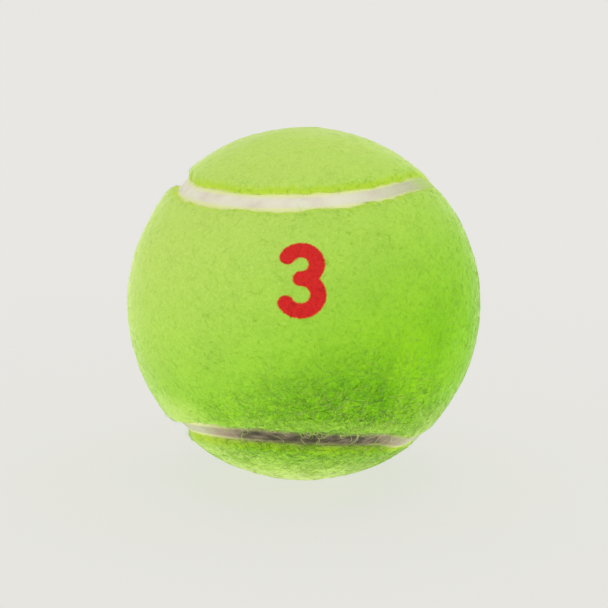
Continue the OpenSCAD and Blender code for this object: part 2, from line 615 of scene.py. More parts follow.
@dataclass(frozen=True)
class RubberFinish(Finish):
    """Moulded rubber or dried cement: two tones in soft patches, with a fine grain."""

    dark: Colour = srgb(30, 29, 28)
    light: Colour = srgb(52, 50, 47)
    patch: float = 6 * MM
    grain: float = 0.4 * MM
    grain_share: float = 0.3
    tone_range: Span = (0.5, 0.8)
    depth: float = 0.04 * MM

    def surface(self, tree: Tree) -> Inputs:
        """Draws the rubber's patches and grain.

        Args:
            tree: the material's tree.

        Returns:
            The shader's colour and normal.
        """
        grain = tree.noise(tree.place(), self.grain, layers=3.0)
        patches = tree.noise(tree.place(), self.patch, layers=3.0, twist=0.5)
        tone = tree.smooth(patches + self.grain_share * grain, *self.tone_range)
        return {"Base Color": tree.mix(tone, self.dark, self.light), "Normal": tree.bump(grain, self.depth)}


@dataclass(frozen=True)
class ClothFinish(Finish):
    """Plain-woven cotton: threads over and under each other, drawn on the cloth's own map."""

    thread: Colour = srgb(222, 214, 190)
    gap: Colour = srgb(168, 156, 126)
    threads_across: float = 2.2
    fuzz: float = 0.3 * MM
    fuzz_share: float = 0.2
    tone_range: Span = (0.55, 1.0)
    depth: float = 0.12 * MM

    def surface(self, tree: Tree) -> Inputs:
        """Draws the weave.

        Args:
            tree: the material's tree.

        Returns:
            The shader's colour and normal.
        """
        pitch = math.pi * self.threads_across
        waves = [tree.calc("ABSOLUTE", tree.calc("SINE", way * pitch)) for way in tree.on_map(WEAVE_MAP)]
        weave = tree.calc("MAXIMUM", *waves)
        fuzz = tree.noise(tree.place(), self.fuzz, layers=3.0)
        tone = tree.smooth(weave + self.fuzz_share * fuzz, *self.tone_range)
        return {"Base Color": tree.mix(tone, self.gap, self.thread), "Normal": tree.bump(weave, self.depth)}


# Shapes


def unit(points: np.ndarray) -> np.ndarray:
    """The points' directions from the ball's centre, as rows of length 1."""
    return points / np.linalg.norm(points, axis=1)[:, None]


def sign(number: int) -> int:
    """1 for an even number, and -1 for an odd one."""
    return 1 - 2 * (number % 2)


def aim(azimuth: float, elevation: float) -> tuple[np.ndarray, np.ndarray]:
    """Turns two angles into a direction from the ball's centre.

    Args:
        azimuth: how far it is to the right of the front, in degrees.
        elevation: how far up it is, in degrees.

    Returns:
        The direction, and the level one to its right for whoever looks at the ball from there.
    """
    turn, lift = math.radians(azimuth), math.radians(elevation)
    out = np.array([math.sin(turn) * math.cos(lift), -math.cos(turn) * math.cos(lift), math.sin(lift)])
    return out, np.array([math.cos(turn), math.sin(turn), 0.0])


def slide(points: np.ndarray, heading: np.ndarray, angle: np.ndarray) -> np.ndarray:
    """Moves points over a ball of radius 1 by an angle each, in a direction square to each."""
    return points * np.cos(angle)[:, None] + heading * np.sin(angle)[:, None]


def step(value: np.ndarray, start: float, end: float) -> np.ndarray:
    """A smooth rise from 0, where value is start, to 1, where it is end."""
    share = np.clip((value - start) / (end - start), 0, 1)
    return share * share * (3 - 2 * share)


def ripple(
    points: np.ndarray, size: float, seed: int, waves: int = 28, spread: Span = (0.7, 1.35)
) -> np.ndarray:
    """Smooth random relief in space: many plane waves of about one length, in fixed random directions.

    Args:
        points: rows of x, y, z.
        size: about how far apart the crests are, in the points' units.
        seed: picks the waves.
        waves: how many there are.
        spread: how many of them fit in the size, at least and at most.

    Returns:
        A value for each point, of spread about 1.
    """
    draw = np.random.default_rng(seed)
    heading = unit(draw.normal(size=(waves, 3)))
    heading *= (TURN / size * draw.uniform(*spread, waves))[:, None]
    phase = draw.uniform(0, TURN, waves)
    return np.sin(points @ heading.T + phase).sum(1) * math.sqrt(2 / waves)


def plain_mesh(name: str, points: np.ndarray, faces: np.ndarray) -> bpy.types.Mesh:
    """Makes a smooth mesh.

    Args:
        name: its name.
        points: rows of x, y, z in metres.
        faces: rows of point numbers.

    Returns:
        The mesh.
    """
    mesh = bpy.data.meshes.new(name)
    mesh.from_pydata(points.tolist(), [], faces.tolist())
    mesh.shade_smooth()
    mesh.update()
    return mesh


def add_values(mesh: bpy.types.Mesh, name: str, values: np.ndarray) -> None:
    """Keeps a number for each point of a mesh, under a name that materials and trees know."""
    layer = mesh.attributes.new(name, "FLOAT", "POINT")
    layer.data.foreach_set("value", values.astype(np.float32))


def corner_points(mesh: bpy.types.Mesh) -> np.ndarray:
    """Reads which point each corner of a mesh's faces is at.

    Args:
        mesh: the mesh.

    Returns:
        The points' numbers.
    """
    corners = np.zeros(len(mesh.loops), int)
    mesh.loops.foreach_get("vertex_index", corners)
    return corners


def put(name: str, data: bpy.types.ID) -> bpy.types.Object:
    """Puts something in the scene.

    Args:
        name: its name.
        data: its mesh, lamp or camera.

    Returns:
        The object.
    """
    made = bpy.data.objects.new(name, data)
    bpy.context.scene.collection.objects.link(made)
    return made


def show(name: str, mesh: bpy.types.Mesh, material: bpy.types.Material) -> bpy.types.Object:
    """Puts a finished mesh in the scene as a piece.

    Args:
        name: the piece's name.
        mesh: its mesh.
        material: what it is dressed in.

    Returns:
        The object.
    """
    mesh.materials.clear()
    mesh.materials.append(material)
    log.info("%s: %d faces", name, len(mesh.polygons))
    return put(name, mesh)


@dataclass(frozen=True)
class SeamLine:
    """The closed line midway between the panels, on a ball of radius 1: four lobes of one radius, joined
    by four straight stretches. The front panel has the lobes to the left and right, the rear one those
    above and below.
    """

    lobe_lift: float = math.radians(9.4)
    straight_half: float = math.radians(20.8)

    @cached_property
    def _to_crossing(self) -> float:
        """The angle from a lobe's centre to the middle of the next straight stretch."""
        return math.acos(math.cos(self.lobe_lift) * math.cos(math.pi / 4))

    @cached_property
    def lobe_radius(self) -> float:
        """The lobes' radius, as an angle at the ball's centre."""
        return math.acos(math.cos(self._to_crossing) / math.cos(self.straight_half))

    @cached_property
    def _slope(self) -> float:
        """How steeply a straight stretch crosses the ring of lobes."""
        rise = math.atan(math.tan(self.lobe_lift) / math.sin(math.pi / 4))
        return rise + math.asin(math.sin(self.lobe_radius) / math.sin(self._to_crossing))

    @cached_property
    def arc_half(self) -> float:
        """Half of the turn that the seam makes round a lobe."""
        open_angle = math.acos(-math.tan(self.lobe_lift) / math.tan(self._to_crossing))
        return open_angle - math.atan(math.tan(self.straight_half) / math.sin(self.lobe_radius))

    @cached_property
    def _arc_run(self) -> float:
        """The length of the seam round one lobe."""
        return 2 * self.arc_half * math.sin(self.lobe_radius)

    @cached_property
    def length(self) -> float:
        """The whole seam's length."""
        return 4 * (self._arc_run + 2 * self.straight_half)

    def lobe(self, number: int) -> tuple[np.ndarray, np.ndarray, np.ndarray]:
        """A lobe's own axes.

        Args:
            number: 0 to 3, clockwise from the right as the front shows them.

        Returns:
            Its centre, the direction from there to its tip, and the one in which the seam runs there.
        """
        lift = sign(number) * self.lobe_lift
        out = [(1, 0), (0, -1), (-1, 0), (0, 1)][number]
        centre = np.array([out[0] * math.cos(lift), math.sin(lift), out[1] * math.cos(lift)])
        tip = np.array([-out[0] * abs(math.sin(lift)), math.copysign(math.cos(lift), lift), 0.0])
        tip[2] = -out[1] * abs(math.sin(lift))
        return centre, tip, np.cross(centre, tip) * -sign(number)

    def straight(self, number: int) -> tuple[np.ndarray, np.ndarray, np.ndarray]:
        """A straight stretch's own axes.

        Args:
            number: 0 to 3, each after the lobe of that number.

        Returns:
            Its pole on the rear side, its middle, and the direction in which the seam runs there.
        """
        turn = math.pi / 4 + number * math.pi / 2
        lean = sign(number) * math.sin(self._slope)
        pole = np.array([-lean * math.sin(turn), math.cos(self._slope), -lean * math.cos(turn)])
        middle = np.array([math.cos(turn), 0.0, -math.sin(turn)])
        return pole, middle, np.cross(pole, middle)

    def nearest(self, points: np.ndarray) -> tuple[np.ndarray, np.ndarray, np.ndarray]:
        """Measures points of the ball from the seam.

        Args:
            points: rows of x, y, z, of length 1.

        Returns:
            The angle from the seam, positive on the front panel; the direction away from the seam into
            the front panel; and the place along the seam, from 0 to its length.
        """
        best = np.full(len(points), FAR)
        inward = np.zeros_like(points)
        place = np.zeros(len(points))

        def keep(away: np.ndarray, push: np.ndarray, at: np.ndarray, valid: np.ndarray) -> None:
            """Takes over the points for which this stretch is nearer than those before it.

            Args:
                away: the angle from this stretch.
                push: the direction away from it.
                at: the place along the seam.
                valid: where the stretch, and not its continuation, is what lies nearest.
            """
            nearer = valid & (np.abs(away) < np.abs(best))
            best[nearer] = away[nearer]
            inward[nearer] = push[nearer]
            place[nearer] = at[nearer]

        start = -self._arc_run / 2
        for number in range(4):
            front = sign(number)
            centre, tip, run = self.lobe(number)
            turn = np.arctan2(points @ run, points @ tip)
            facing = points @ centre
            away = front * (self.lobe_radius - np.arccos(np.clip(facing, -1, 1)))
            push = front * (centre - facing[:, None] * points)
            at = start + self._arc_run / 2 + turn * math.sin(self.lobe_radius)
            keep(away, push, at, np.abs(turn) <= self.arc_half + SLACK)
            start += self._arc_run
            pole, middle, run = self.straight(number)
            facing = points @ pole
            along = np.arctan2(points @ run, points @ middle)
            away = -np.arcsin(np.clip(facing, -1, 1))
            push = facing[:, None] * points - pole
            at = start + self.straight_half + along
            keep(away, push, at, np.abs(along) <= self.straight_half + SLACK)
            start += 2 * self.straight_half
        inward /= np.maximum(np.linalg.norm(inward, axis=1), TINY)[:, None]
        return best, inward, np.mod(place, self.length)

    def walk(self, spacing: float) -> np.ndarray:
        """Points along the whole seam.

        Args:
            spacing: about how far apart they are, in radians.

        Returns:
            Rows of x, y, z, in order, without the first one again at the end.
        """
        rows = []
        for number in range(4):
            centre, tip, run = self.lobe(number)
            count, half = round(self._arc_run / spacing), self.arc_half
            turn = np.linspace(-half, half, count, endpoint=False)[:, None]
            round_lobe = np.cos(turn) * tip + np.sin(turn) * run
            rows.append(math.cos(self.lobe_radius) * centre + math.sin(self.lobe_radius) * round_lobe)
            _, middle, run = self.straight(number)
            count, half = round(2 * self.straight_half / spacing), self.straight_half
            along = np.linspace(-half, half, count, endpoint=False)[:, None]
            rows.append(np.cos(along) * middle + np.sin(along) * run)
        return np.concatenate(rows)


@dataclass(frozen=True)
class Numeral:
    """A plain printed figure 3 on the front: two bowls, one over the other."""

    height: float = 12.5 * MM
    stroke: float = 2.5 * MM
    azimuth: float = 14.3
    elevation: float = 13.8
    radius: float = 33 * MM
    upper_share: float = 0.475
    squeeze: float = 0.92
    opening: float = 2.6
    front_cosine: float = 0.7
    far_off: float = 10 * MM

    def away(self, points: np.ndarray) -> np.ndarray:
        """Measures points of the ball from the ink.

        Args:
            points: rows of x, y, z, of length 1.

        Returns:
            The distance from the ink in metres, negative in it.
        """
        out, right = aim(self.azimuth, self.elevation)
        x, y = self.radius * (points @ right), self.radius * (points @ np.cross(out, right))
        line = (self.height - self.stroke) / 2
        upper, lower = self.upper_share * line, (1 - self.upper_share) * line
        quarter = math.pi / 2
        bowls = (
            (line - upper, upper, -quarter, self.opening),
            (lower - line, lower, -self.opening, quarter),
        )
        nearest = np.full(len(points), FAR)
        for middle, bowl, start, end in bowls:
            across, up = x * self.squeeze, y - middle
            ends = [np.hypot(across - bowl * math.cos(a), up - bowl * math.sin(a)) for a in (start, end)]
            turn = np.arctan2(up, across)
            on_line = np.abs(np.hypot(across, up) - bowl)
            beside = (turn >= start) & (turn <= end)
            nearest = np.minimum(nearest, np.where(beside, on_line, np.minimum(*ends)))
        return np.where(points @ out > self.front_cosine, nearest - self.stroke / 2, self.far_off)


@dataclass(frozen=True)
class Wear:
    """How handling has changed the ball, and where light and shade are painted on it: painted light makes
    the felt paler on one side and in three spots, painted shade darkens it in one patch, and the seam is
    soiled, with painted shade, on the other side, where the felt is ruffled, as it is a little behind;
    beside that seam, painted light makes the felt paler and its nap flatter. Loose nap fills the seam in
    two places, and the felt has drawn back from it in two. A place is a direction from the ball's centre. A
    range is the cosines, from that direction, where something begins and is complete, or for the painted
    light beside the seam the distances from the seam where it begins to end and has ended. The last number
    of a ruffled or open place is how much it comes to.
    """

    # Where light is painted on the felt as a paler colour
    painted_light_pale: tuple[tuple[Spot, float, float], ...] = (
        ((-0.5, -0.1, 0.86), -0.6, 0.85),
        ((-0.46, -0.61, -0.65), 0.9, 1.04),
        ((0.72, -0.2, -0.66), 0.95, 1.03),
        ((-0.04, -0.14, -0.99), 0.73, 0.98),
    )
    ruffled_at: tuple[tuple[Spot, float, float, float], ...] = (
        ((0.26, -0.49, -0.83), 0.6, 0.95, 1.0),
        ((-0.26, 0.96, -0.12), 0.1, 0.75, 0.6),
    )
    # Where shade is painted on the felt, as one darker patch
    painted_shade_at: Spot = (0.43, -0.82, -0.38)
    painted_shade_range: Span = (0.935, 0.985)
    # Where the seam is soiled and shade is painted on it, and on the felt beside it
    soil_and_shade_from: Spot = (0.26, -0.735, -0.625)
    soil_and_shade_range: Span = (0.7, 0.99)
    # Light painted on the felt beside the shaded seam, most on the front panel
    seam_painted_light_front: float = 0.36
    seam_painted_light_rear: float = 0.15
    seam_painted_light_range: Span = (3.8 * MM, 5.8 * MM)
    closed_at: tuple[Spot, ...] = ((0.67, 0.27, 0.69), (0.65, -0.03, -0.76))
    closed_range: Span = (0.9, 0.985)
    overgrown_range: Span = (0.86, 0.97)
    dusty_at: tuple[Spot, ...] = ((-0.5, -0.55, -0.67),)
    dusty_range: Span = (0.45, 0.985)
    open_at: tuple[tuple[Spot, float], ...] = (((-0.14, -0.74, 0.66), 0.6), ((0.14, -0.68, -0.72), 1.0))
    open_range: Span = (0.7, 0.93)

    @staticmethod
    def near(points: np.ndarray, spot: Spot, begins: float, complete: float) -> np.ndarray:
        """How near points of the ball are to a place, from 0 to 1, each with length 1."""
        return step(points @ np.array(spot), begins, complete)

    def fade(self, points: np.ndarray) -> np.ndarray:
        """How much light is painted on the felt as a paler colour, with its nap matted flatter, from 0 to
        1.
        """
        return np.max([self.near(points, *place) for place in self.painted_light_pale], axis=0)

    def painted_shade(self, points: np.ndarray) -> np.ndarray:
        """How much painted shade darkens the felt, in one place."""
        return self.near(points, self.painted_shade_at, *self.painted_shade_range)

    def soil(self, points: np.ndarray) -> np.ndarray:
        """How far the seam is soiled and painted in shade."""
        return self.near(points, self.soil_and_shade_from, *self.soil_and_shade_range)

    def seam_painted_light(self, points: np.ndarray, away: np.ndarray, side: Side) -> np.ndarray:
        """How much light is painted on the felt of one panel beside the shaded seam, paler and with flatter
        nap, by the distance away from the seam.
        """
        most = self.seam_painted_light_front if side is Side.FRONT else self.seam_painted_light_rear
        return most * self.soil(points) * (1 - step(away, *self.seam_painted_light_range))

    def ruffled(self, points: np.ndarray) -> np.ndarray:
        """How far the nap is ruffled, with its fibres level and raised, and not stroked smooth upwards."""
        return np.max([most * self.near(points, *place) for *place, most in self.ruffled_at], axis=0)

    def closed(self, points: np.ndarray) -> np.ndarray:
        """How far loose nap fills the seam."""
        return sum(self.near(points, spot, *self.closed_range) for spot in self.closed_at)

    def dusted(self, points: np.ndarray) -> np.ndarray:
        """How far felt dust covers the rubber."""
        spots = (*self.closed_at, *self.dusty_at)
        return np.max([self.near(points, spot, *self.dusty_range) for spot in spots], axis=0)

    def overgrown(self, points: np.ndarray) -> np.ndarray:
        """How far the nap has grown over the rubber, in the first filled place."""
        return self.near(points, self.closed_at[0], *self.overgrown_range)

    def opened(self, points: np.ndarray) -> np.ndarray:
        """How far the felt has drawn back from the seam."""
        return sum(most * self.near(points, spot, *self.open_range) for spot, most in self.open_at)


@dataclass
class Patch:
    """A triangle mesh over one panel, on a ball of radius 1, with its edge along the seam."""

    SNAP_SHARE = 0.36
    EDGE_SHARE = 0.08

    points: np.ndarray
    faces: np.ndarray
    edge: np.ndarray

    @classmethod
    def cut(cls, line: SeamLine, fineness: int, margin: float) -> "Patch":
        """Cuts the front panel out of an even mesh of the whole ball.

        Args:
            line: the seam.
            fineness: how many times the mesh is halved.
            margin: the angle from the seam at which the panel ends.

        Returns:
            The patch, with the numbers of its edge points in their order along the seam.
        """
        ball = bmesh.new()
        bmesh.ops.create_icosphere(ball, subdivisions=fineness, radius=1.0)
        points = unit(np.array([v.co for v in ball.verts], float))
        faces = np.array([[v.index for v in f.verts] for f in ball.faces])
        ball.free()
        away, inward, _ = line.nearest(points)
        away -= margin
        edge_length = np.linalg.norm(points[faces[:, 0]] - points[faces[:, 1]], axis=1).mean()
        close = np.abs(away) < cls.SNAP_SHARE * edge_length
        points[close] = slide(points[close], inward[close], -away[close])
        away[close] = 0.0
        kept = faces[(away[faces] >= 0).all(1) & (away[faces] > 0).any(1)]
        crossing = faces[(away[faces] > 0).any(1) & (away[faces] < 0).any(1)]
        extra: list[np.ndarray] = []
        cuts: dict[tuple[int, int], int] = {}

        def cut_point(a: int, b: int) -> int:
            """Finds or adds the point where an edge meets the panel's end.

            Args:
                a: the number of the edge's point on the panel.
                b: the number of its other point.

            Returns:
                The point's number.
            """
            if away[b] == 0:
                return b
            key = (min(a, b), max(a, b))
            if key not in cuts:
                cuts[key] = len(points) + len(extra)
                share = away[a] / (away[a] - away[b])
                extra.append(points[a] + share * (points[b] - points[a]))
            return cuts[key]

        pieces = []
        for face in crossing.tolist():
            while not (away[face[0]] > 0 >= away[face[2]]):
                face = face[1:] + face[:1]
            a, b, c = face
            if away[b] > 0:
                pieces += [(a, b, cut_point(b, c)), (a, cut_point(b, c), cut_point(a, c))]
            else:
                pieces.append((a, cut_point(a, b), cut_point(a, c)))
        all_points = np.concatenate([points, np.array(extra).reshape(-1, 3)])
        all_faces = np.concatenate([kept, np.array(pieces)])
        used = np.unique(all_faces)
        renumber = np.full(len(all_points), -1)
        renumber[used] = np.arange(len(used))
        all_points = unit(all_points[used])
        away, inward, place = line.nearest(all_points)
        on_edge = np.nonzero(np.abs(away - margin) < cls.EDGE_SHARE * edge_length)[0]
        all_points[on_edge] = slide(all_points[on_edge], inward[on_edge], (margin - away)[on_edge])
        return cls(all_points, renumber[all_faces], on_edge[np.argsort(place[on_edge])])


def band(first: np.ndarray, second: np.ndarray, places: np.ndarray) -> list[tuple[int, int, int]]:
    """Joins two closed rows of points that run side by side, with triangles.

    Args:
        first: the numbers of one row's points, in order.
        second: the other row's.
        places: how far along the rows each point of the mesh is, from 0 to 1.

    Returns:
        The triangles.
    """

    def following(row: list[int], at: int) -> float:
        """How far along the point after this one is, or beyond all others after the row's end."""
        onward = at + 1
        return places[row[onward % len(row)]] + onward // len(row) if at < len(row) else FAR

    a, b = first.tolist(), second.tolist()
    i = j = 0
    faces = []
    while i < len(a) or j < len(b):
        here_a, here_b = a[i % len(a)], b[j % len(b)]
        if following(a, i) <= following(b, j):
            faces.append((here_a, a[(i + 1) % len(a)], here_b))
            i += 1
        else:
            faces.append((here_a, b[(j + 1) % len(b)], here_b))
            j += 1
    return faces


@dataclass
class FeltPanel:
    """One felt panel: an outer face with a matted relief and a rolled edge, closed by a plain inner face.
    The relief's layers are sizes and depths. The firmness is how much of it the edge has, and what the
    rest has on top.
    """

    side: Side
    line: SeamLine
    seed: int
    ball_r: float = 33.0 * MM
    top_r: float = 32.8 * MM
    inner_r: float = 30.7 * MM
    foot_r: float = 30.95 * MM
    gap_half: float = 1.42 * MM
    roll_width: float = 2.1 * MM
    wall: float = 0.25 * MM
    settle: float = 15 * MM
    edge_wave: float = 0.2 * MM
    open_wider: float = 0.72 * MM
    closes_by: float = 0.4 * MM
    filled: float = 0.8
    edge_wave_sizes: Span = (9 * MM, 3.4 * MM)
    edge_wave_fade: float = 2.0
    strip_share: float = 1.45
    roll_points: int = 64
    firmness: Span = (0.35, 0.65)
    relief_seed: int = 10
    relief: tuple[Span, ...] = (
        (10 * MM, 0.04 * MM),
        (2.6 * MM, 0.02 * MM),
        (1.0 * MM, 0.012 * MM),
    )
    fineness: int = 8
    inner_fineness: int = 6

    def profile(self, share: np.ndarray) -> tuple[np.ndarray, np.ndarray]:
        """The rolled edge in section, from the foot of its wall up and over to the top of the nap.

        Args:
            share: how far along the section, from 0 to 1.

        Returns:
            How far in from the wall, and the distance from the ball's centre.
        """
        rise = self.top_r - self.foot_r - self.wall
        angle = np.linspace(0, math.pi / 2, self.roll_points)
        inward = np.concatenate([[0.0], self.roll_width * (1 - np.cos(angle))])
        radius = np.concatenate([[self.foot_r], self.foot_r + self.wall + rise * np.sin(angle)])
        run = np.concatenate([[0.0], np.cumsum(np.hypot(np.diff(inward), np.diff(radius)))])
        return np.interp(share, run / run[-1], inward), np.interp(share, run / run[-1], radius)

    def outer_face(self, patch: Patch, wear: Wear) -> tuple[np.ndarray, np.ndarray]:
        """Shapes the outer face from the patch.

        Args:
            patch: the front panel's patch.
            wear: where the gap is wider or closed.

        Returns:
            The points in metres, and each one's distance from the panel's edge, in metres.
        """
        away, inward, _ = self.line.nearest(patch.points)
        foot = slide(patch.points, inward, -away)
        deep = np.maximum(away * self.ball_r - self.gap_half, 0)
        strip = self.roll_width * self.strip_share
        shift = strip - self.roll_width
        lateral, radius = self.profile(np.clip(deep / strip, 0, 1))
        beyond = deep - shift * (1 - step(deep, strip, strip + self.settle))
        lateral = np.where(deep < strip, lateral, beyond)
        directions = self.side.place(foot)
        feet = directions * self.ball_r
        waves = [ripple(feet, size, self.seed + n) for n, size in enumerate(self.edge_wave_sizes)]
        wave = sum(waves) * (self.edge_wave / len(waves))
        closed = wear.closed(directions)
        wave += self.open_wider * wear.opened(directions)
        if self.side is Side.FRONT:
            wave -= self.closes_by * closed
        radius = radius + self.filled * closed * (self.top_r - radius)
        lateral = lateral + wave * np.exp(-lateral / (self.edge_wave_fade * self.roll_width))
        target = (lateral + self.gap_half) / self.ball_r
        moved = self.side.place(slide(patch.points, inward, target - away))
        spots = moved * self.ball_r
        seed = self.seed + self.relief_seed
        layers = enumerate(self.relief)
        lump = sum(depth * ripple(spots, size, seed + n) for n, (size, depth) in layers)
        firm = rising(self.firmness, step(lateral, 0.0, self.roll_width))
        return moved * (radius + lump * firm)[:, None], deep

    def build(
        self, patch: Patch, inner: Patch, mark: Numeral, wear: Wear
    ) -> tuple[bpy.types.Mesh, bpy.types.Mesh]:
        """Builds the closed panel, and its outer face alone for the fibres to stand on.

        Args:
            patch: the front panel's patch, fine.
            inner: the same, coarse.
            mark: the printed figure.
            wear: where the felt has changed.

        Returns:
            The panel's mesh, and the outer face's.
        """
        outer, deep = self.outer_face(patch, wear)
        inside = self.side.place(inner.points) * self.inner_r
        points = np.concatenate([outer, inside])
        _, _, place = self.line.nearest(np.concatenate([patch.points, inner.points]))
        rim = band(patch.edge, inner.edge + len(outer), place / self.line.length)
        faces = np.concatenate([patch.faces, inner.faces + len(outer), np.array(rim)])
        name = f"{self.side.value}_felt"
        panel = plain_mesh(name, points, faces)
        turn_outward(panel)
        face = plain_mesh(f"{name}_face", outer, patch.faces)
        turn_out_from_middle(face)
        directions = unit(points)
        seam_away = np.concatenate([deep, np.full(len(inside), self.roll_width * 2)])
        notes = {
            "ink_away": mark.away(directions),
            "seam_away": seam_away,
            # Painted light, on one side, in spots and beside the shaded seam
            "fade": np.maximum(wear.fade(directions), wear.seam_painted_light(directions, seam_away, self.side)),
            # Soil and painted shade by the seam
            "soil": wear.soil(directions),
            "ruffled": wear.ruffled(directions),
            # Painted shade, in one patch
            "painted_shade": wear.painted_shade(directions),
        }
        for mesh in (panel, face):
            for note, values in notes.items():
                add_values(mesh, note, values[: len(mesh.vertices)])
        return panel, face


def turn_outward(mesh: bpy.types.Mesh) -> None:
    """Turns all faces of a closed mesh outwards.

    Args:
        mesh: the mesh.
    """
    work = bmesh.new()
    work.from_mesh(mesh)
    bmesh.ops.recalc_face_normals(work, faces=work.faces)
    work.to_mesh(mesh)
    work.free()


def turn_out_from_middle(mesh: bpy.types.Mesh) -> None:
    """Turns an open sheet round the ball away from the ball's centre.

    Args:
        mesh: the sheet.
    """
    first = mesh.polygons[0]
    if first.normal.dot(first.center) < 0:
        mesh.flip_normals()


@dataclass
class BackingCloth:
    """The woven cloth under one panel's nap, closed all round."""

    side: Side
    line: SeamLine
    outer_r: float = 30.68 * MM
    inner_r: float = 30.18 * MM
    flat_scale: float = 1000.0

    def build(self, inner: Patch) -> bpy.types.Mesh:
        """Builds the cloth.

        Args:
            inner: the front panel's coarse patch.

        Returns:
            The mesh, with a map in millimetres of cloth for the weave.
        """
        directions = self.side.place(inner.points)
        count = len(directions)
        points = np.concatenate([directions * self.outer_r, directions * self.inner_r])
        _, _, place = self.line.nearest(inner.points)
        place = np.concatenate([place, place]) / self.line.length
        rim = band(inner.edge, inner.edge + count, place)
        faces = np.concatenate([inner.faces, inner.faces + count, np.array(rim)])
        mesh = plain_mesh(f"{self.side.value}_backing", points, faces)
        turn_outward(mesh)
        flat = np.concatenate([inner.points, inner.points]) * self.outer_r * self.flat_scale
        along = np.arctan2(flat[:, 0], -flat[:, 1]) * self.outer_r * self.flat_scale
        weave = mesh.uv_layers.new(name=WEAVE_MAP)
        spots = np.stack([along, flat[:, 2]], 1)[corner_points(mesh)]
        weave.data.foreach_set("uv", spots.astype(np.float32).ravel())
        return mesh


@dataclass
class SeamStrip:
    """The seam rubber: a strip along the whole seam, a little crowned, that reaches under both felt
    edges.
    """

    line: SeamLine
    bottom_r: float = 30.72 * MM
    top_r: float = 31.55 * MM
    half: float = 1.4 * MM
    tuck: float = 1.0 * MM
    crown: float = 0.15 * MM
    climb: float = 0.12 * MM
    climb_power: int = 6
    unevenness: float = 0.015 * MM
    uneven_sizes: Span = (2.6 * MM, 0.9 * MM)
    filled: float = 0.9 * MM
    spacing: float = 0.45 * MM
    points_across: int = 13
    seed: int = 70

    def build(self, wear: Wear) -> bpy.types.Mesh:
        """Builds the strip.

        Args:
            wear: where the rubber is soiled and painted in shade.

        Returns:
            The mesh, with each point's distance from the felt.
        """
        middle = self.line.walk(self.spacing / self.top_r)
        _, inward, _ = self.line.nearest(middle)
        reach = self.half + self.tuck
        across = np.linspace(-reach, reach, self.points_across)
        share = across / self.half
        climb = self.climb * np.clip(np.abs(share), 0, 1) ** self.climb_power
        height = self.top_r + self.crown * (1 - share**2) + climb
        across = np.concatenate([across, [reach, -reach]])
        height = np.concatenate([height, [self.bottom_r, self.bottom_r]])
        rows = []
        for offset, radius in zip(across, height):
            row = slide(middle, inward, np.full(len(middle), offset / self.top_r))
            spots = row * self.top_r
            coarse, fine = (ripple(spots, size, self.seed + n) for n, size in enumerate(self.uneven_sizes))
            rough = coarse + fine / 2
            if radius > self.bottom_r:
                radius = radius + self.unevenness * rough + self.filled * wear.closed(row)
            rows.append(row * np.broadcast_to(radius, len(row))[:, None])
        rings, size = len(middle), len(rows)
        points = np.stack(rows, 1).reshape(-1, 3)
        number = np.arange(rings * size).reshape(rings, size)
        after, beside = np.roll(number, -1, 0), np.roll(number, -1, 1)
        both = np.roll(after, -1, 1)
        faces = np.stack([number, after, both, beside], 2).reshape(-1, 4)
        mesh = plain_mesh("seam", points, faces)
        turn_outward(mesh)
        edge = np.tile(np.clip(self.half - np.abs(across), 0, None), rings)
        add_values(mesh, "felt_away", edge)
        directions = unit(points)
        # Soil and painted shade on the rubber
        add_values(mesh, "soil", wear.soil(directions))
        add_values(mesh, "dusted", wear.dusted(directions))
        add_values(mesh, "overgrown", wear.overgrown(directions))
        return mesh


# Fibres


class FibreKind(Enum):
    """The kinds of fibre: short nap over the whole felt, curls that lie on it, and a few pale strays that
    have worked loose.
    """

    NAP = "nap"
    CURL = "curls"
    STRAY = "strays"


@dataclass(frozen=True)
class FibreSizes:
    """The sizes of one kind of fibre, in metres and radians."""

    count: int
    pieces: int
    rings: int
    length: Span
    width: float
    bend: Span
    arch: Span
    tip: Span
    wobble: float
    gathered: float
    level: float
    follow_ball: float
    tones: Span


FIBRES = {
    FibreKind.NAP: FibreSizes(
        count=40000,
        pieces=3,
        rings=2,
        length=(0.7 * MM, 1.7 * MM),
        width=0.06 * MM,
        bend=(0.3, 1.6),
        arch=(0.0, 0.09 * MM),
        tip=(0.0, 0.24 * MM),
        wobble=0.0,
        gathered=0.0,
        level=3.2,
        follow_ball=0.0,
        tones=(0.06, 0.46),
    ),
    FibreKind.CURL: FibreSizes(
        count=13500,
        pieces=2,
        rings=4,
        length=(1.4 * MM, 3.8 * MM),
        width=0.05 * MM,
        bend=(0.5, 4.4),
        arch=(0.03 * MM, 0.2 * MM),
        tip=(-0.05 * MM, 0.24 * MM),
        wobble=0.05,
        gathered=0.35,
        level=3.2,
        follow_ball=0.0,
        tones=(0.14, 0.6),
    ),
    FibreKind.STRAY: FibreSizes(
        count=7000,
        pieces=1,
        rings=6,
        length=(1.5 * MM, 6.0 * MM),
        width=0.052 * MM,
        bend=(0.4, 4.6),
        arch=(0.04 * MM, 0.18 * MM),
        tip=(-0.05 * MM, 0.1 * MM),
        wobble=0.06,
        gathered=0.99,
        level=0.7,
        follow_ball=0.95,
        tones=(0.46, 0.7),
    ),
}
# What the fibres' meshes keep for each point until they are painted
FIBRE_NOTES = (
    *("root", "up", "heading", "length", "bend", "arch", "tip", "phase", "chance", "spot"),
    *("seam_away", "ink_away", "fade", "soil", "ruffled", "painted_shade"),
)
# The inputs of the fibres' tree that FibreMaker.amounts doesn't give
SOCKETS = {
    "Face": "NodeSocketGeometry",
    "Strand": "NodeSocketObject",
    "Material": "NodeSocketMaterial",
    "Seed": "NodeSocketInt",
}


